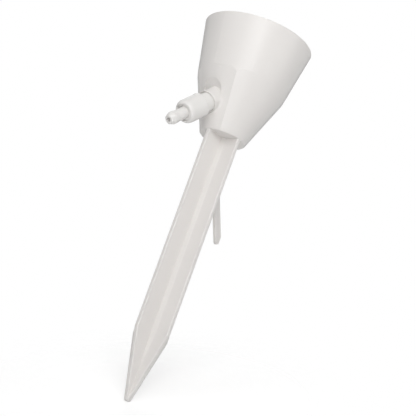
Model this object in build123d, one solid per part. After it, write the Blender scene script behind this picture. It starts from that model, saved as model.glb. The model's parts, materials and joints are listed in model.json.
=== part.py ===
from build123d import *
from math import atan, cos, pi, radians, sin
import os

# Self watering spike: a funnel cup takes an upturned bottle, a screw-down drip
# valve stands out of its side, and a cross-section stake holds it in the soil.
# Millimetres. +Z runs up the cup's axis and the origin is the stake's tip.
# The valve leans out towards +X, and the stake's side prong towards -X.

# Stake
stake_length = 174.0
fin_reach = 14.3
fin_thickness = 2.8
fin_edge_round = 0.65
core_half_width = 2.35
core_half_depth = 5.8
taper_length = 42.5
tip_reach = 1.8
tip_round = 1.0
tip_core_half_width = 1.0
tip_core_half_depth = 1.2
nose_radius = 2.2
nose_round = 1.5
nose_straight = 2.8
nose_height = 8.0

# Side prong on the fin opposite the valve, along its own slanted centreline
prong_drop = 37.5
prong_angle = 31.0
prong_length = 25.0
prong_root = 6.0
prong_width = 5.2
prong_thickness = 2.2
prong_outer_chamfer = 2.6
prong_chamfer_rise = 4.2
prong_inner_round = 1.6
prong_edge_round = 0.4

# Spigot on the stake's top, which snaps into the cup's blind socket
spigot_radius = 6.5
spigot_length = 12.0
spigot_lead_in = 0.8
snap_ring_height = 0.35
snap_ring_width = 1.2
snap_ring_level = 8.0
socket_clearance = 0.1
socket_wall = 1.8
socket_spare_depth = 0.6

# Cup
cup_height = 71.0
mouth_radius = 35.0
plain_foot_radius = 21.5
facet_count = 16
facet_height = 37.6
foot_apothem = 14.4
foot_round = 0.7
mouth_round = 0.5
cup_wall = 1.8
cup_floor = 2.0
ledge_width = 1.1
ledge_level = 30.5
bead_height = 0.5
bead_width = 1.2

# Shallow arched relief on the wall above the valve boss
relief_radius = 7.0
relief_rise = 5.8
relief_lean = 37.0

# Valve boss, along an axis that starts on the cup's axis
valve_level = 37.8
valve_tilt = 46.0
boss_radius = 7.2
boss_start = 24.0
boss_front = 33.8
boss_lip_round = 0.5
boss_mouth_chamfer = 0.6
boss_bore_radius = 6.1
boss_end_wall = 1.6
port_radius = 2.0

# Bottle collar, its drain lip and its flange on the cup's ledge
neck_bore_radius = 13.9
washer_pocket_radius = 14.3
collar_wall = 2.0
collar_top_level = 48.0
collar_top_chamfer = 0.6
collar_lip_reach = 4.4
collar_lip_thickness = 1.4
flange_thickness = 3.0
flange_clearance = 0.15
gusset_count = 8
gusset_height = 9.0
gusset_reach = 4.0
gusset_thickness = 1.4
flange_groove_depth = 1.3
flange_groove_width = 1.6

# Strainer and washer under the bottle's mouth
strainer_thickness = 0.8
strainer_hole_radius = 0.9
strainer_hole_pitch = 3.0
strainer_hole_rings = 3
washer_thickness = 1.6
washer_width = 3.4
drop_in_clearance = 0.15

# Valve body, plugged into the boss
seat_thickness = 1.6
seat_hole_radius = 1.7
body_spigot_radius = 6.0
body_shoulder = 39.6
body_nose_radius = 5.7
body_end = 45.5
body_bore_radius = 4.45
body_flat_offset = 3.75
running_clearance = 0.05
flats_end_gap = 0.2
nose_groove_start = 42.4
nose_groove_width = 1.4
nose_groove_depth = 0.55
body_seal_start = 29.5
body_seal_groove_width = 1.3
body_seal_groove_depth = 0.85
edge_break = 0.3

# Nozzle stem: needle, flatted guide, round shank and barbed spout
needle_tip_radius = 0.9
needle_entry = 1.0
needle_length = 2.0
guide_start = 31.0
guide_length = 4.5
shank_end = 50.2
spout_radius = 3.65
spout_end = 68.6
barb_start = 62.4
barb_radius = 4.0
barb_step = 0.25
barb_shoulder = 3.1
spout_tip_radius = 2.5
spout_tip_round = 0.5
spout_bore_radius = 1.4
cross_hole_radius = 0.8
stem_seal_start = 38.0
stem_seal_groove_width = 1.5
stem_seal_groove_depth = 1.1

# Flow knob, captive on the valve body's nose
knob_back_gap = 0.3
knob_radius = 7.5
knob_back_round = 0.4
knob_front = 54.8
knob_shoulder_length = 2.8
knob_rim_radius = 5.9
knob_recess_radius = 5.4
knob_recess_depth = 0.6
knob_front_wall = 1.7
knob_hole_radius = 4.05
knob_nose_clearance = 0.1
knob_thread_start = 46.0

# Rubber rings are drawn a little slack in their grooves
seal_slack = 0.02

# Run past a face that a cut goes through
overrun = 1.0


plain_slope = (mouth_radius - plain_foot_radius) / cup_height
facet_slope = (plain_foot_radius + plain_slope * facet_height - foot_apothem) / facet_height


def plain_radius(level):
    """Radius of the round upper cone at a level above the cup's foot."""
    return plain_foot_radius + plain_slope * level


def facet_apothem(level):
    """Distance of the flat facets from the axis at a level above the foot."""
    return foot_apothem + facet_slope * level


def inner_radius(level):
    """Inside radius of the cup above its ledge."""
    return min(plain_radius(level), facet_apothem(level)) - cup_wall


def turned(points):
    """Solid turned about the Z axis from an outline of radius and height."""
    outline = Polyline(*[(r, 0, z) for r, z in points], close=True)
    return revolve(make_face(outline), Axis.Z)


def ring(inner, outer, low, high):
    """Flat-ended ring about the Z axis."""
    return turned([(inner, low), (outer, low), (outer, high), (inner, high)])


def rod(radius, low, high):
    """Flat-ended round bar about the Z axis."""
    return Pos(0, 0, low) * Cylinder(radius, high - low, align=(Align.CENTER, Align.CENTER, Align.MIN))


def o_ring(groove_radius, wall_radius, middle, lean=0):
    """Rubber ring between a straight groove and a wall that may lean outwards."""
    reach = (wall_radius - groove_radius) * cos(lean) / (1 + cos(lean))
    return Pos(0, 0, middle) * Torus(groove_radius + reach, reach - seal_slack)


cup_place = Pos(0, 0, stake_length)
valve_frame = Plane(
    origin=(0, 0, stake_length + valve_level),
    x_dir=(0, 1, 0),
    z_dir=(cos(radians(valve_tilt)), 0, -sin(radians(valve_tilt))),
)


def in_valve(shape):
    """Carries a shape from the valve's own axis into the part's frame."""
    return valve_frame.location * shape


def wall_reach(rise):
    """How far out along the valve the cup's flat wall lies, at a height above its axis."""
    tilt = radians(valve_tilt)
    flat = foot_apothem + facet_slope * valve_level
    return (flat + rise * (facet_slope * cos(tilt) - sin(tilt))) / (cos(tilt) + facet_slope * sin(tilt))


def make_cup_shell():
    """Faceted funnel with a round rim, hollow down to its floor."""
    cone = turned([(0, 0), (plain_foot_radius, 0), (mouth_radius, cup_height), (0, cup_height)])
    turn = 180 / facet_count
    foot = RegularPolygon(foot_apothem, facet_count, major_radius=False, rotation=turn)
    head = RegularPolygon(facet_apothem(cup_height), facet_count, major_radius=False, rotation=turn)
    outside = cone & loft([foot, Pos(0, 0, cup_height) * head])
    outside = fillet(outside.edges().group_by(Axis.Z)[0], foot_round)

    # The hollow steps out at the ledge that carries the collar's flange
    hollow = turned([
        (0, cup_floor),
        (inner_radius(cup_floor) - ledge_width, cup_floor),
        (inner_radius(ledge_level) - ledge_width, ledge_level),
        (inner_radius(ledge_level), ledge_level),
        (inner_radius(facet_height), facet_height),
        (inner_radius(cup_height), cup_height),
        (inner_radius(cup_height), cup_height + overrun),
        (0, cup_height + overrun),
    ])
    shell = outside - hollow
    shell = fillet(shell.edges().group_by(Axis.Z)[-1], mouth_round)

    # Bead that the flange snaps under
    low = ledge_level + flange_thickness + flange_clearance
    high = low + bead_width
    root = cup_wall / 2
    return shell + turned([
        (inner_radius(low) - bead_height, low),
        (inner_radius(low) + root, low),
        (inner_radius(high) + root, high),
        (inner_radius(high), high),
    ])


def make_socket():
    """Blind tube for the stake's spigot, and the space inside it."""
    bore = spigot_radius + socket_clearance
    depth = spigot_length + socket_spare_depth
    low = snap_ring_level - socket_clearance
    high = snap_ring_level + snap_ring_width + socket_clearance
    space = rod(bore, -overrun, depth) + rod(bore + snap_ring_height, low, high)
    return rod(bore + socket_wall, 0, depth + socket_wall), space


def make_relief():
    """What the arched relief takes off the wall: a bore cut short by a leaning plane."""
    top_rise = relief_rise + relief_radius
    reach = wall_reach(top_rise)
    bore = in_valve(Pos(0, relief_rise, 0) * rod(relief_radius, 0, boss_front))
    peak = valve_frame.from_local_coords((0, top_rise, reach))
    lean = radians(relief_lean)
    face = Plane(origin=peak, x_dir=(0, 1, 0), z_dir=(cos(lean), 0, -sin(lean)))
    span = 2 * boss_front
    outer_side = Box(span, span, span, align=(Align.CENTER, Align.CENTER, Align.MIN))
    return bore & face.location * outer_side


def make_cup():
    socket, socket_space = make_socket()
    cup = cup_place * (make_cup_shell() + socket - socket_space) - make_relief()

    # Boss with a chamfered bore, closed inside but for its water port
    outline = Polyline((0, 0, boss_front), (0, 0, boss_start), (boss_radius, 0, boss_start),
                       (boss_radius, 0, boss_front), close=True)
    corner = make_face(outline)
    corner = fillet(corner.vertices().sort_by(Axis.X)[-2:].sort_by(Axis.Z)[-1], boss_lip_round)
    boss = revolve(corner, Axis.Z)
    bore_floor = boss_start + boss_end_wall
    chamfered = boss_bore_radius + boss_mouth_chamfer
    bore = turned([
        (0, bore_floor),
        (boss_bore_radius, bore_floor),
        (boss_bore_radius, boss_front - boss_mouth_chamfer),
        (chamfered, boss_front),
        (chamfered, boss_front + overrun),
        (0, boss_front + overrun),
    ])
    port = rod(port_radius, boss_start - overrun, bore_floor + overrun)
    return cup + in_valve(boss) - in_valve(bore) - in_valve(port)


def make_collar():
    bore = neck_bore_radius
    outer = bore + collar_wall
    lip_top = ledge_level + collar_lip_thickness
    flange_low = inner_radius(ledge_level) - flange_clearance
    flange_top = ledge_level + flange_thickness
    flange_high = inner_radius(flange_top) - flange_clearance
    rim = collar_top_level - collar_top_chamfer
    pocket_top = lip_top + strainer_thickness + washer_thickness + drop_in_clearance
    body = turned([
        (bore - collar_lip_reach, ledge_level),
        (flange_low, ledge_level),
        (flange_high, flange_top),
        (outer, flange_top),
        (outer, rim),
        (outer - collar_top_chamfer, collar_top_level),
        (bore + collar_top_chamfer, collar_top_level),
        (bore, rim),
        (bore, pocket_top),
        (washer_pocket_radius, pocket_top),
        (washer_pocket_radius, lip_top),
        (bore - collar_lip_reach, lip_top),
    ])
    seal_middle = ledge_level + flange_thickness / 2
    groove_radius = inner_radius(seal_middle) - flange_groove_depth
    body -= ring(groove_radius, flange_high + overrun,
                 seal_middle - flange_groove_width / 2, seal_middle + flange_groove_width / 2)

    # Gussets between the flange and the threaded tube
    root = outer - collar_wall / 2
    rib = make_face(Polyline((root, 0, flange_top - overrun), (outer + gusset_reach, 0, flange_top - overrun),
                             (outer + gusset_reach, 0, flange_top), (outer, 0, flange_top + gusset_height),
                             (root, 0, flange_top + gusset_height), close=True))
    rib = extrude(rib, gusset_thickness / 2, both=True)
    for step in range(gusset_count):
        body += Rot(0, 0, (step + 0.5) * 360 / gusset_count) * rib
    return cup_place * body


def make_collar_seal():
    middle = ledge_level + flange_thickness / 2
    wall = inner_radius(middle)
    return cup_place * o_ring(wall - flange_groove_depth, wall, middle, atan(facet_slope))


def make_strainer():
    low = ledge_level + collar_lip_thickness
    disc = rod(washer_pocket_radius - drop_in_clearance, low, low + strainer_thickness)
    for number in range(strainer_hole_rings):
        count = max(1, 6 * number)
        for step in range(count):
            angle = 2 * pi * step / count
            reach = number * strainer_hole_pitch
            hole = rod(strainer_hole_radius, low - overrun, low + strainer_thickness + overrun)
            disc -= Pos(reach * cos(angle), reach * sin(angle), 0) * hole
    return cup_place * disc


def make_washer():
    low = ledge_level + collar_lip_thickness + strainer_thickness
    outer = washer_pocket_radius - drop_in_clearance
    return cup_place * ring(outer - washer_width, outer, low, low + washer_thickness)


def make_fin():
    """Tapered fin from the stake's axis out to its rounded edge."""
    outline = Polyline((0, 0, stake_length), (0, 0, 0), (tip_reach, 0, 0),
                       (fin_reach, 0, taper_length), (fin_reach, 0, stake_length), close=True)
    side = make_face(outline)
    corner = [v for v in side.vertices() if v.Z < tip_reach and v.X > tip_reach / 2]
    side = fillet(corner, tip_round)
    fin = extrude(side, fin_thickness / 2, both=True)
    outer = [e for e in fin.edges() if abs(e.center().Y) > fin_edge_round
             and e.center().X > tip_reach / 2 and e.center().Z < stake_length - fin_edge_round]
    return fillet(outer, fin_edge_round)


def make_prong():
    """Flat bar that leans out of the fin's edge, cut slantwise at its outer end."""
    run = prong_root + prong_length
    bar = Pos(0, 0, prong_root) * Box(prong_width, prong_thickness, run,
                                      align=(Align.CENTER, Align.CENTER, Align.MAX))
    outer_end = bar.edges().filter_by(Axis.Y).group_by(Axis.Z)[0].sort_by(Axis.X)[-1]
    bar = chamfer(outer_end, prong_chamfer_rise, prong_outer_chamfer,
                  reference=bar.faces().sort_by(Axis.X)[-1])
    inner_end = bar.edges().filter_by(Axis.Y).group_by(Axis.Z)[0].sort_by(Axis.X)[0]
    bar = fillet(inner_end, prong_inner_round)
    rims = [e for e in bar.edges() if abs(e.center().Y) > prong_edge_round and e.center().Z < prong_root / 2]
    bar = fillet(rims, prong_edge_round)
    return Rot(0, 0, 180) * Pos(fin_reach, 0, stake_length - prong_drop) * Rot(0, -prong_angle, 0) * bar


def make_spigot():
    """Round spigot with a lead-in and a snap ring, on the stake's top."""
    top = stake_length + spigot_length
    low = stake_length + snap_ring_level
    high = low + snap_ring_width
    bump = snap_ring_height - socket_clearance
    return turned([
        (0, stake_length),
        (spigot_radius, stake_length),
        (spigot_radius, low),
        (spigot_radius + bump, low + bump),
        (spigot_radius + bump, high - bump),
        (spigot_radius, high),
        (spigot_radius, top - spigot_lead_in),
        (spigot_radius - spigot_lead_in, top),
        (0, top),
    ])


def make_core():
    """Oval core of the stake, deepest along Y, which tapers as the fins do."""
    section = Pos(0, 0, taper_length) * Ellipse(core_half_width, core_half_depth)
    tip = Ellipse(tip_core_half_width, tip_core_half_depth)
    return loft([tip, section]) + extrude(section, stake_length - taper_length)


def make_nose():
    """Blunt rounded nose that closes the channels between the fins at the tip."""
    outline = Polyline((0, 0, nose_height), (0, 0, 0), (nose_radius, 0, 0),
                       (nose_radius, 0, nose_straight), close=True)
    side = make_face(outline)
    side = fillet(side.vertices().sort_by(Axis.X)[-2:].sort_by(Axis.Z)[0], nose_round)
    return revolve(side, Axis.Z)


def make_stake():
    fin = make_fin()
    stake = fin
    for turn in (90, 180, 270):
        stake += Rot(0, 0, turn) * fin
    return stake + make_core() + make_nose() + make_spigot() + make_prong()


def make_valve_seat():
    low = boss_start + boss_end_wall
    return in_valve(ring(seat_hole_radius, boss_bore_radius - drop_in_clearance, low, low + seat_thickness))


def make_valve_body():
    back = boss_start + boss_end_wall + seat_thickness
    body = turned([
        (0, back),
        (body_spigot_radius - edge_break, back),
        (body_spigot_radius, back + edge_break),
        (body_spigot_radius, body_shoulder),
        (body_nose_radius, body_shoulder),
        (body_nose_radius, body_end - edge_break),
        (body_nose_radius - edge_break, body_end),
        (0, body_end),
    ])
    body -= ring(body_nose_radius - nose_groove_depth, body_nose_radius + overrun,
                 nose_groove_start, nose_groove_start + nose_groove_width)
    body -= ring(body_spigot_radius - body_seal_groove_depth, body_spigot_radius + overrun,
                 body_seal_start, body_seal_start + body_seal_groove_width)
    flats_end = guide_start + guide_length - flats_end_gap
    flatted = rod(body_bore_radius, back - overrun, flats_end)
    span = 2 * body_bore_radius
    length = flats_end - back + 2 * overrun
    middle = (flats_end + back) / 2
    flatted &= Pos(0, 0, middle) * Box(2 * body_flat_offset, span, length)
    bore = rod(body_bore_radius, flats_end, body_end + overrun)
    return in_valve(body - flatted - bore)


def make_body_seal():
    middle = body_seal_start + body_seal_groove_width / 2
    return in_valve(o_ring(body_spigot_radius - body_seal_groove_depth, boss_bore_radius, middle))


def make_stem():
    seat_face = boss_start + boss_end_wall + seat_thickness
    tip = seat_face - needle_entry
    slope = (seat_hole_radius - running_clearance - needle_tip_radius) / needle_entry
    neck_radius = needle_tip_radius + slope * needle_length
    shank = body_bore_radius - running_clearance
    barb_peak = spout_end - barb_shoulder
    stem = turned([
        (0, tip),
        (needle_tip_radius, tip),
        (neck_radius, tip + needle_length),
        (neck_radius, guide_start),
        (shank, guide_start),
        (shank, shank_end - edge_break),
        (shank - edge_break, shank_end),
        (spout_radius, shank_end),
        (spout_radius, barb_start),
        (spout_radius + barb_step, barb_start + edge_break),
        (barb_radius, barb_peak),
        (spout_tip_radius + spout_tip_round, spout_end - spout_tip_round),
        (spout_tip_radius, spout_end),
        (0, spout_end),
    ])
    stem -= ring(shank - stem_seal_groove_depth, shank + overrun,
                 stem_seal_start, stem_seal_start + stem_seal_groove_width)
    flat = body_flat_offset - running_clearance
    waste = Box(shank, 2 * shank, guide_length, align=(Align.MIN, Align.CENTER, Align.MIN))
    for side in (0, 180):
        stem -= Rot(0, 0, side) * Pos(flat, 0, guide_start) * waste
    # Water enters by two cross holes behind the guide and leaves by the spout
    hole_level = (tip + needle_length + guide_start) / 2
    stem -= rod(spout_bore_radius, hole_level - cross_hole_radius, spout_end + overrun)
    across = 2 * neck_radius + 2 * overrun
    stem -= Pos(0, 0, hole_level) * Rot(0, 90, 0) * Cylinder(cross_hole_radius, across)
    return in_valve(stem)


def make_stem_seal():
    shank = body_bore_radius - running_clearance
    middle = stem_seal_start + stem_seal_groove_width / 2
    return in_valve(o_ring(shank - stem_seal_groove_depth, body_bore_radius, middle))


def make_knob():
    back = body_shoulder + knob_back_gap
    nose = body_nose_radius + knob_nose_clearance
    thread = body_bore_radius
    bead_low = nose_groove_start + running_clearance
    bead_high = nose_groove_start + nose_groove_width - running_clearance
    bead = body_nose_radius - nose_groove_depth + knob_nose_clearance
    recess = knob_front - knob_recess_depth
    wall = recess - knob_front_wall
    shoulder = knob_front - knob_shoulder_length
    outline = Polyline(
        (knob_rim_radius, 0, knob_front),
        (knob_recess_radius, 0, knob_front),
        (knob_recess_radius, 0, recess),
        (knob_hole_radius, 0, recess),
        (knob_hole_radius, 0, wall),
        (thread, 0, wall),
        (thread, 0, knob_thread_start),
        (nose, 0, knob_thread_start),
        (nose, 0, bead_high),
        (bead, 0, bead_high),
        (bead, 0, bead_low),
        (nose, 0, bead_low),
        (nose, 0, back),
        (knob_radius - knob_back_round, 0, back),
        (knob_radius, 0, back + knob_back_round),
        (knob_radius, 0, shoulder),
    )
    round_over = Plane.XZ.location * EllipticalCenterArc(
        (knob_rim_radius, shoulder), knob_radius - knob_rim_radius, knob_shoulder_length)
    profile = make_face([*outline.edges(), *round_over.edges()])
    return in_valve(revolve(profile, Axis.Z))


parts = {
    "cup": make_cup,
    "bottle_collar": make_collar,
    "collar_seal": make_collar_seal,
    "strainer": make_strainer,
    "neck_washer": make_washer,
    "stake": make_stake,
    "valve_seat": make_valve_seat,
    "valve_body": make_valve_body,
    "body_seal": make_body_seal,
    "nozzle_stem": make_stem,
    "stem_seal": make_stem_seal,
    "flow_knob": make_knob,
}

os.makedirs("parts", exist_ok=True)
for name, make in parts.items():
    shape = make()
    shape.label = name
    export_step(shape, "parts/" + name + ".step")
    print(name, round(shape.volume, 1), "mm3")
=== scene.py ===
import json
import math

import bpy
import numpy as np
from mathutils import Matrix, Vector


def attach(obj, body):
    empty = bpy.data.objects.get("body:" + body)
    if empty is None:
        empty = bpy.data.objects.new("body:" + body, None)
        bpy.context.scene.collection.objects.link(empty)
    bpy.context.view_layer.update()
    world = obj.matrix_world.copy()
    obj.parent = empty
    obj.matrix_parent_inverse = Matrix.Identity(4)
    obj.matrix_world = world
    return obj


# Self watering spike in off-white moulded plastic, seen from below and to one side.
# Metres, +Z up the cup's axis, the stake's tip at the origin, the valve towards +X.

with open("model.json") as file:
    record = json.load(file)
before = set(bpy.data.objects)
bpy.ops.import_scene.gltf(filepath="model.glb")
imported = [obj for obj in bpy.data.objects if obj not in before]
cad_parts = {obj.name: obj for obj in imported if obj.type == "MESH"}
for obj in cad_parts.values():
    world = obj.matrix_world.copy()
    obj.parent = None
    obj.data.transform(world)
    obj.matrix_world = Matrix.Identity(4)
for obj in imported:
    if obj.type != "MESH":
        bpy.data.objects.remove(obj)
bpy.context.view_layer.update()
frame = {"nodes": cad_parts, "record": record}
print("frame loaded:", len(frame["nodes"]), "nodes")

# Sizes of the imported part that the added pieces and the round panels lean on

part = {
    "stakeLength": 0.174,
    "cupHeight": 0.071,
    "mouthRadius": 0.035,
    "plainFootRadius": 0.0215,
    "footApothem": 0.0144,
    "facetHeight": 0.0376,
    "facetCount": 16,
    "valveLevel": 0.0378,
    "valveTilt": math.radians(46),
    "bossRadius": 0.0072,
    "neckBore": 0.0139,
    "threadLow": 0.0345,
    "threadHigh": 0.0474,
}
plainSlope = (part["mouthRadius"] - part["plainFootRadius"]) / part["cupHeight"]
plainRadiusAtArch = part["plainFootRadius"] + plainSlope * part["facetHeight"]
facetSlope = (plainRadiusAtArch - part["footApothem"]) / part["facetHeight"]


def wallRadius(level, angle):
    # the outer wall is the smaller of a plain cone and a sixteen-sided cone
    step = 2 * np.pi / part["facetCount"]
    offFlat = (angle + step / 2) % step - step / 2
    plain = part["plainFootRadius"] + plainSlope * level
    flat = (part["footApothem"] + facetSlope * level) / np.cos(offFlat)
    return np.minimum(plain, flat)


# Camera, fitted to the mouth, the foot, the valve and the stake's outline

camera = {
    "lens": 167.53,
    "sensorWidth": 36,
    "clip": (0.05, 30),
    "place": (0.78939, 0.80642, -0.21873),
    "right": (-0.598034, 0.732791, 0.324611),
    "up": (0.436358, -0.042031, 0.898791),
}
photoRight = Vector(camera["right"]).normalized()
photoUp = Vector(camera["up"])
photoUp = (photoUp - photoRight * photoUp.dot(photoRight)).normalized()
photoBack = photoRight.cross(photoUp)


def placeCamera():
    lensData = bpy.data.cameras.new("camera")
    lensData.lens = camera["lens"]
    lensData.sensor_width = camera["sensorWidth"]
    lensData.clip_start, lensData.clip_end = camera["clip"]
    cameraObject = bpy.data.objects.new("camera", lensData)
    turn = Matrix((photoRight, photoUp, photoBack)).transposed().to_4x4()
    cameraObject.matrix_world = Matrix.Translation(camera["place"]) @ turn
    bpy.context.scene.collection.objects.link(cameraObject)
    bpy.context.scene.camera = cameraObject


placeCamera()
print("camera placed")


# Node helpers

def addNode(tree, kind, place, **values):
    node = tree.nodes.new(kind)
    node.location = place
    for name, value in values.items():
        setattr(node, name, value)
    return node


def addMath(tree, place, operation, *values, clamp=False):
    # a value is a number, or a socket to link
    node = addNode(tree, "ShaderNodeMath", place, operation=operation, use_clamp=clamp)
    for slot, value in enumerate(values):
        if isinstance(value, (int, float)):
            node.inputs[slot].default_value = value
        else:
            tree.links.new(value, node.inputs[slot])
    return node.outputs[0]


def addSeenRays(tree, left, top):
    # one for rays from the camera, from gloss and through clear pieces, nought for others
    rays = addNode(tree, "ShaderNodeLightPath", (left, top)).outputs
    seen = addMath(tree, (left + 250, top), "ADD", rays["Is Camera Ray"], rays["Is Glossy Ray"], clamp=True)
    return addMath(tree, (left + 450, top), "ADD", seen, rays["Is Transmission Ray"], clamp=True)


def newMaterial(name):
    material = bpy.data.materials.new(name)
    material.use_nodes = True
    tree = material.node_tree
    tree.nodes.clear()
    output = addNode(tree, "ShaderNodeOutputMaterial", (900, 0))
    return material, tree, output


# Mould grain: a fine orange-peel height, a roughness that wanders, and a faint
# tone drift from the way the melt flowed. Used by every plastic and the rubber.

mouldGrainDetail = {"flow": 3, "grain": 2}
mouldGrainInputs = {  # each input of the group, and its value's name in a finish
    "Flow Scale": "flowScale",
    "Grain Scale": "grainScale",
    "Roughness": "roughness",
    "Spread": "spread",
    "Drift": "drift",
}


def makeMouldGrain():
    group = bpy.data.node_groups.new("mouldGrain", "ShaderNodeTree")
    face = group.interface
    for name in mouldGrainInputs:
        face.new_socket(name, in_out="INPUT", socket_type="NodeSocketFloat")
    face.new_socket("Base", in_out="INPUT", socket_type="NodeSocketColor")
    face.new_socket("Color", in_out="OUTPUT", socket_type="NodeSocketColor")
    face.new_socket("Roughness", in_out="OUTPUT", socket_type="NodeSocketFloat")
    face.new_socket("Height", in_out="OUTPUT", socket_type="NodeSocketFloat")
    link = group.links.new
    given = addNode(group, "NodeGroupInput", (-900, 0)).outputs
    result = addNode(group, "NodeGroupOutput", (700, 0)).inputs
    place = addNode(group, "ShaderNodeTexCoord", (-900, -300))
    flow = addNode(group, "ShaderNodeTexNoise", (-600, 200))
    grain = addNode(group, "ShaderNodeTexNoise", (-600, -200))
    flow.inputs["Detail"].default_value = mouldGrainDetail["flow"]
    grain.inputs["Detail"].default_value = mouldGrainDetail["grain"]
    link(place.outputs["Object"], flow.inputs["Vector"])
    link(place.outputs["Object"], grain.inputs["Vector"])
    link(given["Flow Scale"], flow.inputs["Scale"])
    link(given["Grain Scale"], grain.inputs["Scale"])
    centred = addMath(group, (-380, 200), "SUBTRACT", flow.outputs["Fac"], 0.5)
    tone = addMath(group, (-180, 260), "MULTIPLY_ADD", centred, given["Drift"], 1)
    tinted = addNode(group, "ShaderNodeVectorMath", (60, 260), operation="SCALE")
    link(given["Base"], tinted.inputs[0])
    link(tone, tinted.inputs["Scale"])
    wander = addMath(group, (-180, 40), "MULTIPLY_ADD", centred, given["Spread"], given["Roughness"])
    link(tinted.outputs[0], result["Color"])
    link(wander, result["Roughness"])
    link(grain.outputs["Fac"], result["Height"])
    return group


mouldGrain = makeMouldGrain()

# Round panels: on each side of the valve the real lower wall has its sharp edge between
# the second flat and the third. Outside the middles of those two it is a plain cone that
# touches the middles of the flats, and round the back it runs softly into the upper cone.
# The height, in metres, is the smaller of the two cones, the corner between them rounded
# with the angle, less the point's own radius. It is given only to points of the outer
# wall, told by their distance from it and their slope.

panelSizes = {
    "sharpBetween": (math.radians(22.5), math.radians(45)),  # from the valve, to each side
    "softens": (math.radians(50), math.radians(78)),
    "softness": 0.0016,
    "levels": (0.0003, 0.048),
    "nearWall": 0.0006,
    "slopes": (-0.40, -0.15),  # upward share of the wall's true normal
}


def makeRoundPanels():
    group = bpy.data.node_groups.new("roundPanels", "ShaderNodeTree")
    group.interface.new_socket("Height", in_out="OUTPUT", socket_type="NodeSocketFloat")
    link = group.links.new
    result = addNode(group, "NodeGroupOutput", (1400, 0))

    def onGrid(column, row, operation, *values):
        return addMath(group, (column * 190 - 900, -row * 190), operation, *values)

    place = addNode(group, "ShaderNodeTexCoord", (-1300, 0))
    split = addNode(group, "ShaderNodeSeparateXYZ", (-1100, 0))
    link(place.outputs["Object"], split.inputs[0])
    x, y, z = split.outputs
    geometry = addNode(group, "ShaderNodeNewGeometry", (-1300, -300))
    facing = addNode(group, "ShaderNodeSeparateXYZ", (-1100, -300))
    link(geometry.outputs["True Normal"], facing.inputs[0])
    slope = facing.outputs["Z"]

    angle = onGrid(1, 0, "ABSOLUTE", onGrid(0, 0, "ARCTAN2", y, x))
    squares = onGrid(1, 1, "MULTIPLY_ADD", x, x, onGrid(0, 1, "MULTIPLY", y, y))
    radius = onGrid(2, 1, "SQRT", squares)
    level = onGrid(0, 2, "SUBTRACT", z, part["stakeLength"])
    lower = onGrid(1, 2, "MULTIPLY_ADD", level, facetSlope, part["footApothem"])
    upper = onGrid(1, 3, "MULTIPLY_ADD", level, plainSlope, part["plainFootRadius"])

    soft = addNode(group, "ShaderNodeMapRange", (-400, 200))
    soft.inputs["From Min"].default_value, soft.inputs["From Max"].default_value = panelSizes["softens"]
    soft.inputs["To Max"].default_value = panelSizes["softness"]
    link(angle, soft.inputs["Value"])
    cones = onGrid(3, 2, "SMOOTH_MIN", lower, upper, soft.outputs["Result"])
    height = onGrid(4, 2, "SUBTRACT", cones, radius)

    offWall = onGrid(3, 3, "SUBTRACT", onGrid(2, 3, "MINIMUM", lower, upper), radius)
    onWall = onGrid(4, 3, "LESS_THAN", onGrid(3, 4, "ABSOLUTE", offWall), panelSizes["nearWall"])
    steep = onGrid(4, 5, "GREATER_THAN", slope, panelSizes["slopes"][0])
    shallow = onGrid(4, 6, "LESS_THAN", slope, panelSizes["slopes"][1])
    front = onGrid(2, 7, "LESS_THAN", angle, panelSizes["sharpBetween"][0])
    back = onGrid(2, 8, "GREATER_THAN", angle, panelSizes["sharpBetween"][1])
    above = onGrid(2, 10, "GREATER_THAN", level, panelSizes["levels"][0])
    below = onGrid(2, 9, "LESS_THAN", level, panelSizes["levels"][1])
    outside = onGrid(5, 3, "MULTIPLY", onWall, onGrid(5, 5, "MULTIPLY", steep, shallow))
    between = onGrid(4, 9, "MULTIPLY", below, above)
    around = onGrid(5, 8, "MULTIPLY", onGrid(4, 8, "ADD", front, back), between)
    mask = onGrid(6, 5, "MULTIPLY", outside, around)
    link(onGrid(7, 1, "MULTIPLY", height, mask), result.inputs["Height"])
    return group


roundPanels = makeRoundPanels()

# Finishes, each with its grain's depth in metres. The roughness of the two pale plastics
# wanders only below 0.27, because the render's noise filter leaves patches where a
# roughness crosses that.

finishes = {
    "moulded_plastic": {
        "color": (0.815, 0.79, 0.768), "ior": 1.5, "specular": 0.42, "roughness": 0.245, "spread": 0.06,
        "drift": 0.02, "flowScale": 28, "grainScale": 1400, "depth": 0.0000012},
    "valve_plastic": {
        "color": (0.85, 0.833, 0.812), "ior": 1.5, "specular": 0.45, "roughness": 0.24, "spread": 0.06,
        "drift": 0.03, "flowScale": 60, "grainScale": 2000, "depth": 0.0000002},
    "strainer_plastic": {
        "color": (0.74, 0.74, 0.73), "ior": 1.5, "specular": 0.4, "roughness": 0.5, "spread": 0.10,
        "drift": 0.04, "flowScale": 120, "grainScale": 2400, "depth": 0.000006},
    "black_rubber": {
        "color": (0.022, 0.022, 0.023), "ior": 1.52, "specular": 0.5, "roughness": 0.62, "spread": 0.2,
        "drift": 0.4, "flowScale": 300, "grainScale": 5000, "depth": 0.00001},
}
finishes["cup_plastic"] = {**finishes["moulded_plastic"], "rounded": True}


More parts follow.
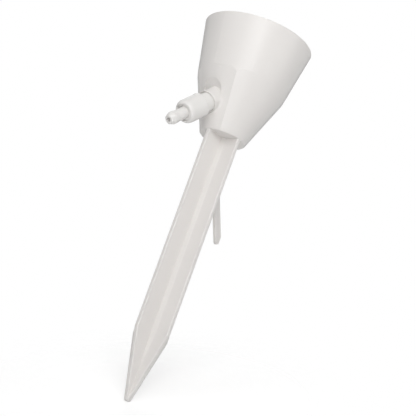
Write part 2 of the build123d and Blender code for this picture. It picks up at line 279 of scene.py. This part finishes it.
def makeFinish(name, look):
    material, tree, output = newMaterial(name)
    link = tree.links.new
    shader = addNode(tree, "ShaderNodeBsdfPrincipled", (500, 0))
    shader.inputs["IOR"].default_value = look["ior"]
    shader.inputs["Specular IOR Level"].default_value = look["specular"]
    grain = addNode(tree, "ShaderNodeGroup", (-100, 0), node_tree=mouldGrain)
    grain.inputs["Base"].default_value = (*look["color"], 1)
    for socket, value in mouldGrainInputs.items():
        grain.inputs[socket].default_value = look[value]
    panel = 0
    if look.get("rounded"):
        panel = addNode(tree, "ShaderNodeGroup", (-140, -400), node_tree=roundPanels).outputs["Height"]
    height = addMath(tree, (60, -250), "MULTIPLY_ADD", grain.outputs["Height"], look["depth"], panel)
    bump = addNode(tree, "ShaderNodeBump", (250, -250))
    bump.inputs["Strength"].default_value = 1
    bump.inputs["Distance"].default_value = 1
    link(height, bump.inputs["Height"])
    link(grain.outputs["Color"], shader.inputs["Base Color"])
    link(grain.outputs["Roughness"], shader.inputs["Roughness"])
    link(bump.outputs["Normal"], shader.inputs["Normal"])
    link(shader.outputs[0], output.inputs["Surface"])
    return material


materials = {name: makeFinish(name, look) for name, look in finishes.items()}
slotOf = {piece["node"]: piece["material_slot"] for piece in frame["record"]["subparts"]}
for name, node in frame["nodes"].items():
    for materialSlot in node.material_slots:
        materialSlot.material = materials["cup_plastic" if name == "cup" else slotOf[name]]
print("finishes on", len(slotOf), "nodes")


# Mesh helpers

def gridFaces(rows, columns, wrapRows=False, wrapColumns=False, first=0):
    # quads between neighbours on a grid of points, row after row, from the first point on
    row = np.arange(rows if wrapRows else rows - 1)[:, None]
    column = np.arange(columns if wrapColumns else columns - 1)[None, :]
    nextRow, nextColumn = (row + 1) % rows, (column + 1) % columns
    near, far = first + row * columns, first + nextRow * columns
    corners = [near + column, near + nextColumn, far + nextColumn, far + column]
    return np.stack(np.broadcast_arrays(*corners), -1).reshape(-1, 4).tolist()


def easedIn(distance, runOut, least=0):
    # a smooth step over the run-out, by the share of it passed, which is never below the least
    share = np.clip(distance / runOut, least, 1)
    return share * share * (3 - 2 * share)


def newPiece(name, points, faces, slotName, body="holder"):
    mesh = bpy.data.meshes.new(name)
    mesh.from_pydata(points.reshape(-1, 3).tolist(), [], faces)
    mesh.shade_smooth()
    mesh.materials.append(materials[slotName])
    piece = bpy.data.objects.new(name, mesh)
    bpy.context.scene.collection.objects.link(piece)
    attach(piece, body)


def stageSheet(name, corners, material):
    # one flat face through four corners, for the surroundings
    mesh = bpy.data.meshes.new(name)
    mesh.from_pydata([tuple(corner) for corner in corners], [], [(0, 1, 2, 3)])
    mesh.materials.append(material)
    sheet = bpy.data.objects.new(name, mesh)
    bpy.context.scene.collection.objects.link(sheet)
    return sheet


# Bottle thread: a low trapezium carried down a helix inside the collar's bore,
# sunk a little into the wall, and run out to nothing at both ends

thread = {
    "pitch": 0.0027,
    "turns": 3.2,
    "height": 0.0010,
    "rootWidth": 0.0018,
    "crestWidth": 0.0009,
    "sunk": 0.0002,
    "lift": 0.0012,  # of its middle over the middle of the threaded bore
    "runOut": 0.35,  # turns
    "leastRunOutShare": 0.02,
    "endWidthShare": 0.4,
    "steps": 260,
}


def makeThread():
    turn = np.linspace(0, thread["turns"], thread["steps"])[:, None]
    toEnd = np.minimum(turn, thread["turns"] - turn)
    ease = easedIn(toEnd, thread["runOut"], thread["leastRunOutShare"])
    root, crest = thread["rootWidth"] / 2, thread["crestWidth"] / 2
    height, sunk = thread["height"], thread["sunk"]
    across = np.array([-root, -root, -crest, crest, root, root])
    inward = np.array([-sunk, 0, height, height, 0, -sunk])
    radius = part["neckBore"] - np.where(inward > 0, inward * ease, inward)
    middle = part["stakeLength"] + (part["threadLow"] + part["threadHigh"]) / 2 + thread["lift"]
    low = middle - thread["pitch"] * thread["turns"] / 2
    widthShare = thread["endWidthShare"] + (1 - thread["endWidthShare"]) * ease
    level = low + thread["pitch"] * turn + across * widthShare
    angle = 2 * np.pi * turn
    points = np.stack([radius * np.cos(angle), radius * np.sin(angle), level], -1)
    rows, columns = points.shape[:2]
    faces = gridFaces(rows, columns, wrapColumns=True)
    faces.append(list(range(columns))[::-1])
    faces.append(list(range((rows - 1) * columns, rows * columns)))
    newPiece("collar_thread", points, faces, "moulded_plastic")


makeThread()
print("thread made")

# Mould parting line down both sides of the cup: a rounded ridge, half a cosine
# across, that follows the wall's outline at one angle

partingLine = {
    "height": 0.00005,
    "halfWidth": 0.00014,
    "sunk": 0.00003,
    "across": 7,
    "along": 120,
    "sides": (  # angle round the cup, lowest and highest level
        (0.0, 0.0305, 0.0700),
        (math.pi, 0.0012, 0.0700),
    ),
}


def makePartingLines():
    across = np.linspace(-1, 1, partingLine["across"])
    rise = partingLine["height"] * np.cos(across * np.pi / 2)
    rise[[0, -1]] -= partingLine["sunk"]  # both long edges lie inside the wall
    shapes, faces = [], []
    for angle, low, high in partingLine["sides"]:
        level = np.linspace(low, high, partingLine["along"])[:, None]
        reach, side, level = np.broadcast_arrays(
            wallRadius(level, 0) + rise, across * partingLine["halfWidth"], level)
        cos, sin = math.cos(angle), math.sin(angle)
        x, y, z = reach * cos - side * sin, reach * sin + side * cos, part["stakeLength"] + level
        faces += gridFaces(*reach.shape, first=len(shapes) * reach.size)
        shapes.append(np.stack([x, y, z], -1))
    newPiece("cup_parting_line", np.stack(shapes), faces, "moulded_plastic")


makePartingLines()
print("parting lines made")

# The valve's axis leans out and down from the cup's axis. A point is so far along it,
# so far from it, and at an angle round it from straight up.

valveOrigin = np.array([0, 0, part["stakeLength"] + part["valveLevel"]])
valveAlong = np.array([math.cos(part["valveTilt"]), 0, -math.sin(part["valveTilt"])])
valveUp = np.array([math.sin(part["valveTilt"]), 0, math.cos(part["valveTilt"])])
valveSide = np.array([0.0, 1.0, 0.0])


def onValve(along, radius, angle):
    along, radius, angle = np.broadcast_arrays(along, radius, angle)
    outward = np.cos(angle)[..., None] * valveUp + np.sin(angle)[..., None] * valveSide
    return valveOrigin + along[..., None] * valveAlong + radius[..., None] * outward


def turnedPiece(name, along, radius, slotName, body, steps=96):
    # a closed profile, by its distances along and from the valve's axis, carried once round
    angle = np.linspace(0, 2 * np.pi, steps, endpoint=False)[None, :]
    points = onValve(along[:, None], radius[:, None], angle)
    faces = gridFaces(*points.shape[:2], wrapRows=True, wrapColumns=True)
    newPiece(name, points, faces, slotName, body)


# Knob trim: a bead on the knob's back edge, half an ellipse in section, and the lip
# round the stem that closes the knob's front, its inner edge a quarter circle

knobBead = {
    "along": 0.04030,
    "halfWidth": 0.00042,
    "height": 0.00016,
    "radius": 0.0075,
    "sunk": 0.0002,
    "across": 13,
}
knobLip = {
    "floor": 0.0542,
    "rise": 0.00006,
    "inner": 0.00372,
    "outer": 0.00545,
    "round": 0.00014,
    "depth": 0.0006,
    "across": 5,
}


def makeKnobBead():
    across = np.linspace(np.pi, 0, knobBead["across"])
    along = knobBead["along"] - knobBead["halfWidth"] * np.cos(across)
    radius = knobBead["radius"] + knobBead["height"] * np.sin(across)
    inside = knobBead["radius"] - knobBead["sunk"]
    along = np.append(along, along[[-1, 0]])
    radius = np.append(radius, [inside, inside])
    turnedPiece("knob_bead", along, radius, "valve_plastic", "knob")


def makeKnobLip():
    top = knobLip["floor"] + knobLip["rise"]
    low = top - knobLip["depth"]
    inner, outer = knobLip["inner"], knobLip["outer"]
    corner = np.linspace(0, np.pi / 2, knobLip["across"])
    along = top - knobLip["round"] * (1 - np.sin(corner))
    radius = inner + knobLip["round"] * (1 - np.cos(corner))
    along = np.concatenate([[low], along, [top, low]])
    radius = np.concatenate([[inner], radius, [outer, outer]])
    turnedPiece("knob_lip", along, radius, "valve_plastic", "knob")


makeKnobBead()
makeKnobLip()
print("knob trim made")

# Fillet between the boss and the wall, round its sides and underneath. Each section is
# a curve from the boss to the wall drawn towards the corner where the two meet, and
# the ends of the fillet run out to nothing.

bossFillet = {
    "reach": 0.0013,
    "leastReachShare": 0.02,
    "start": math.radians(72),  # from straight up, to each side
    "runOut": math.radians(26),
    "sunk": 0.00012,
    "columns": 150,
    "rows": 12,
    "wallBetween": (0.012, 0.040),  # along the valve's axis
    "halvings": 32,
}


def alongToWall(radius, angle):
    # halve the interval until the point lies on the cup's outer wall
    near, far = (np.full_like(angle, end) for end in bossFillet["wallBetween"])
    for _ in range(bossFillet["halvings"]):
        middle = (near + far) / 2
        x, y, z = np.moveaxis(onValve(middle, radius, angle), -1, 0)
        inside = np.hypot(x, y) < wallRadius(z - part["stakeLength"], np.arctan2(y, x))
        near, far = np.where(inside, middle, near), np.where(inside, far, middle)
    return near


def makeBossFillet():
    angle = np.linspace(bossFillet["start"], 2 * np.pi - bossFillet["start"], bossFillet["columns"])
    ease = easedIn(np.minimum(angle - angle[0], angle[-1] - angle), bossFillet["runOut"])
    least = bossFillet["leastReachShare"]
    reach = bossFillet["reach"] * (least + (1 - least) * ease)
    radius = np.full_like(angle, part["bossRadius"])
    corner = alongToWall(radius, angle)
    onBoss = onValve(corner + reach, radius, angle)
    onCorner = onValve(corner, radius, angle)
    onWall = onValve(alongToWall(radius + reach, angle), radius + reach, angle)
    share = np.linspace(0, 1, bossFillet["rows"])[:, None, None]
    curve = (1 - share) ** 2 * onBoss + 2 * share * (1 - share) * onCorner + share ** 2 * onWall
    # one more row on each side lies inside the boss and inside the wall
    inBoss = onValve(corner + reach, radius - bossFillet["sunk"], angle)
    fromAxis = np.hypot(onWall[:, :1], onWall[:, 1:2])
    inWall = onWall * (1 - bossFillet["sunk"] / fromAxis * np.array([1, 1, 0]))
    points = np.concatenate([inBoss[None], curve, inWall[None]])
    newPiece("cup_boss_fillet", points, gridFaces(*points.shape[:2]), "moulded_plastic")


makeBossFillet()
print("boss fillet made")

# Floor through the stake's tip, level in the photograph, faded out with distance
# and clear from behind, so that it only carries the soft shadow. Where it is seen it
# glows, which brings it up to white, and ends sooner.

floor = {
    "lean": math.radians(14),  # of its upright, from the photograph's up towards the camera
    "half": 3.0,
    "drop": 0.0004,  # below the stake's tip
    "albedo": 0.8,
    "seenAlbedo": 0.54,
    "seenGlow": 0.58,
    "fade": (0.5, 1.6),
    "seenFade": (0.05, 0.15),
}


def makeFloorFinish():
    material, tree, output = newMaterial("paleFloor")
    link = tree.links.new
    seen = addSeenRays(tree, -900, 300)

    place = addNode(tree, "ShaderNodeTexCoord", (-900, -300))
    distance = addNode(tree, "ShaderNodeVectorMath", (-700, -300), operation="LENGTH")
    link(place.outputs["Object"], distance.inputs[0])
    faded = addNode(tree, "ShaderNodeMix", (-250, -300))
    link(seen, faded.inputs["Factor"])
    for row, (socket, ends) in enumerate((("A", floor["fade"]), ("B", floor["seenFade"]))):
        fade = addNode(tree, "ShaderNodeMapRange", (-500, -300 - 260 * row), interpolation_type="SMOOTHSTEP")
        fade.inputs["From Min"].default_value, fade.inputs["From Max"].default_value = ends
        link(distance.outputs["Value"], fade.inputs["Value"])
        link(fade.outputs["Result"], faded.inputs[socket])
    geometry = addNode(tree, "ShaderNodeNewGeometry", (-700, -850))
    clear = addMath(tree, (-50, -350), "MAXIMUM", faded.outputs["Result"], geometry.outputs["Backfacing"])

    albedo = addNode(tree, "ShaderNodeMapRange", (-300, 50))
    albedo.inputs["To Min"].default_value = floor["albedo"]
    albedo.inputs["To Max"].default_value = floor["seenAlbedo"]
    link(seen, albedo.inputs["Value"])
    matte = addNode(tree, "ShaderNodeBsdfDiffuse", (-100, 200))
    link(albedo.outputs["Result"], matte.inputs["Color"])
    glow = addNode(tree, "ShaderNodeEmission", (-100, 0))
    link(addMath(tree, (-300, -150), "MULTIPLY", seen, floor["seenGlow"]), glow.inputs["Strength"])

    both = addNode(tree, "ShaderNodeAddShader", (100, 100))
    link(matte.outputs[0], both.inputs[0])
    link(glow.outputs[0], both.inputs[1])
    nothing = addNode(tree, "ShaderNodeBsdfTransparent", (100, -150))
    mix = addNode(tree, "ShaderNodeMixShader", (400, 0))
    link(clear, mix.inputs[0])
    link(both.outputs[0], mix.inputs[1])
    link(nothing.outputs[0], mix.inputs[2])
    link(mix.outputs[0], output.inputs["Surface"])
    return material


def makeFloor():
    upright = (photoUp * math.cos(floor["lean"]) + photoBack * math.sin(floor["lean"])).normalized()
    deep = upright.cross(photoRight)
    base = -upright * floor["drop"]
    ends = ((-1, -1), (1, -1), (1, 1), (-1, 1))
    corners = [base + (photoRight * right + deep * back) * floor["half"] for right, back in ends]
    stageSheet("floor", corners, makeFloorFinish())


makeFloor()
print("floor made")

# Grey cards beside the backdrop, seen only in reflections, which keep the plastic's
# outline crisp against the white

objectMiddle = Vector((0.0, 0.0, 0.125))  # the cards and the lamps are placed from it
cards = {"side": 0.42, "near": 0.75, "far": 2.2, "half": 0.9, "strength": 0.45}


def makeCards():
    material, tree, output = newMaterial("greyCard")
    grey = addNode(tree, "ShaderNodeEmission", (500, 0))
    grey.inputs["Strength"].default_value = cards["strength"]
    tree.links.new(grey.outputs[0], output.inputs["Surface"])
    ends = ((-cards["near"], -1), (-cards["far"], -1), (-cards["far"], 1), (-cards["near"], 1))
    for name, side in (("leftCard", -1), ("rightCard", 1)):
        place = objectMiddle + photoRight * side * cards["side"]
        corners = [place + photoBack * back + photoUp * up * cards["half"] for back, up in ends]
        card = stageSheet(name, corners, material)
        card.visible_camera = card.visible_diffuse = False
        card.visible_shadow = card.visible_transmission = False


makeCards()
print("cards made")

# World: a soft pale sky for the object, plain white where it is seen

world = {"color": (1.0, 1.0, 1.0), "strength": 0.15}


def makeWorld():
    sky = bpy.data.worlds.new("studio")
    bpy.context.scene.world = sky
    sky.use_nodes = True
    tree = sky.node_tree
    tree.nodes.clear()
    link = tree.links.new
    output = addNode(tree, "ShaderNodeOutputWorld", (600, 0))
    soft = addNode(tree, "ShaderNodeBackground", (50, 0))
    soft.inputs["Color"].default_value = (*world["color"], 1)
    soft.inputs["Strength"].default_value = world["strength"]
    white = addNode(tree, "ShaderNodeBackground", (50, -200))
    white.inputs["Color"].default_value = (1, 1, 1, 1)
    white.inputs["Strength"].default_value = 1
    mix = addNode(tree, "ShaderNodeMixShader", (350, 0))
    link(addSeenRays(tree, -600, 200), mix.inputs[0])
    link(soft.outputs[0], mix.inputs[1])
    link(white.outputs[0], mix.inputs[2])
    link(mix.outputs[0], output.inputs["Surface"])


makeWorld()
print("world made")

# Soft boxes, placed from the object's middle by right, up and back in the photograph.
# A hidden one lights the back for the other views, and makes no bright rim in this one.

softBoxes = {
    "key": {"away": (-0.12, 0.62, 1.9), "size": (1.5, 1.0), "power": 6.3},
    "nearCamera": {"away": (0.1, 0.1, 2.0), "size": (0.25, 0.25), "power": 1.3},
    "lowFront": {"away": (0.0, -1.0, 1.4), "size": (0.9, 0.9), "power": 86.0},
    "upRight": {"away": (0.4, 1.0, 1.6), "size": (0.7, 0.7), "power": 9.7},
    "smallRight": {"away": (0.9, 0.9, 1.3), "size": (0.25, 0.25), "power": 1.2},
    "right": {"away": (1.6, 0.2, 0.5), "size": (1.0, 1.0), "power": 1.8},
    "top": {"away": (0.0, 1.5, 1.0), "size": (1.0, 0.6), "power": 5.4},
    "topLeft": {"away": (-1.0, 1.4, 0.4), "size": (1.0, 1.0), "power": 3.0},
    "overhead": {"away": (0.2, 1.7, 0.1), "size": (1.2, 1.2), "power": 0.9},
    "behind": {"away": (0.0, 0.8, -1.7), "size": (1.2, 1.2), "power": 15.3, "hidden": True},
}


def placeSoftBox(name, box):
    right, up, back = box["away"]
    away = photoRight * right + photoUp * up + photoBack * back
    lamp = bpy.data.lights.new(name, "AREA")
    lamp.shape = "RECTANGLE"
    lamp.size, lamp.size_y = box["size"]
    lamp.energy = box["power"]
    lampObject = bpy.data.objects.new(name, lamp)
    turn = away.to_track_quat("Z", "Y").to_matrix().to_4x4()
    lampObject.matrix_world = Matrix.Translation(objectMiddle + away) @ turn
    if box.get("hidden"):
        lampObject.visible_glossy = lampObject.visible_camera = False
    bpy.context.scene.collection.objects.link(lampObject)


for name, box in softBoxes.items():
    placeSoftBox(name, box)
print("light placed")

bpy.context.scene.view_settings.view_transform = "Standard"
